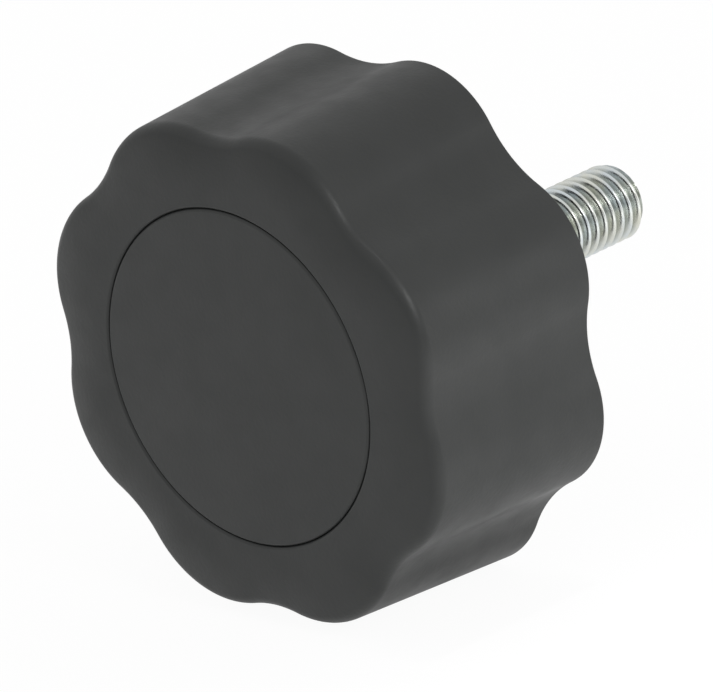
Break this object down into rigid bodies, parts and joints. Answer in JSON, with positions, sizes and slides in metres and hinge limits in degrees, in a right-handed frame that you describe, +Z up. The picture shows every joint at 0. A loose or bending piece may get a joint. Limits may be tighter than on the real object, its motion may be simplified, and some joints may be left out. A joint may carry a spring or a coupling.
{
  "type": "lobed grip knob",
  "caption": "Black moulded grip knob with shallow lobes, a flush round front cap and a zinc-plated threaded stud, for clamping and adjusting by hand.",
  "frame": {"origin": "on the axis of the stud, at the seat face of the hub", "axes": "+Y along the stud, away from the grip; +Z up, midway between two lobes"},
  "size_m": [0.051, 0.0558, 0.051],
  "materials": {
    "body": "fine moulded grain",
    "cap": "fine moulded grain",
    "stud": "bright zinc plating"
  },
  "bodies": {
    "root": {"knob_body": "body", "front_cap": "cap", "stud": "stud"}
  },
  "joints": []
}
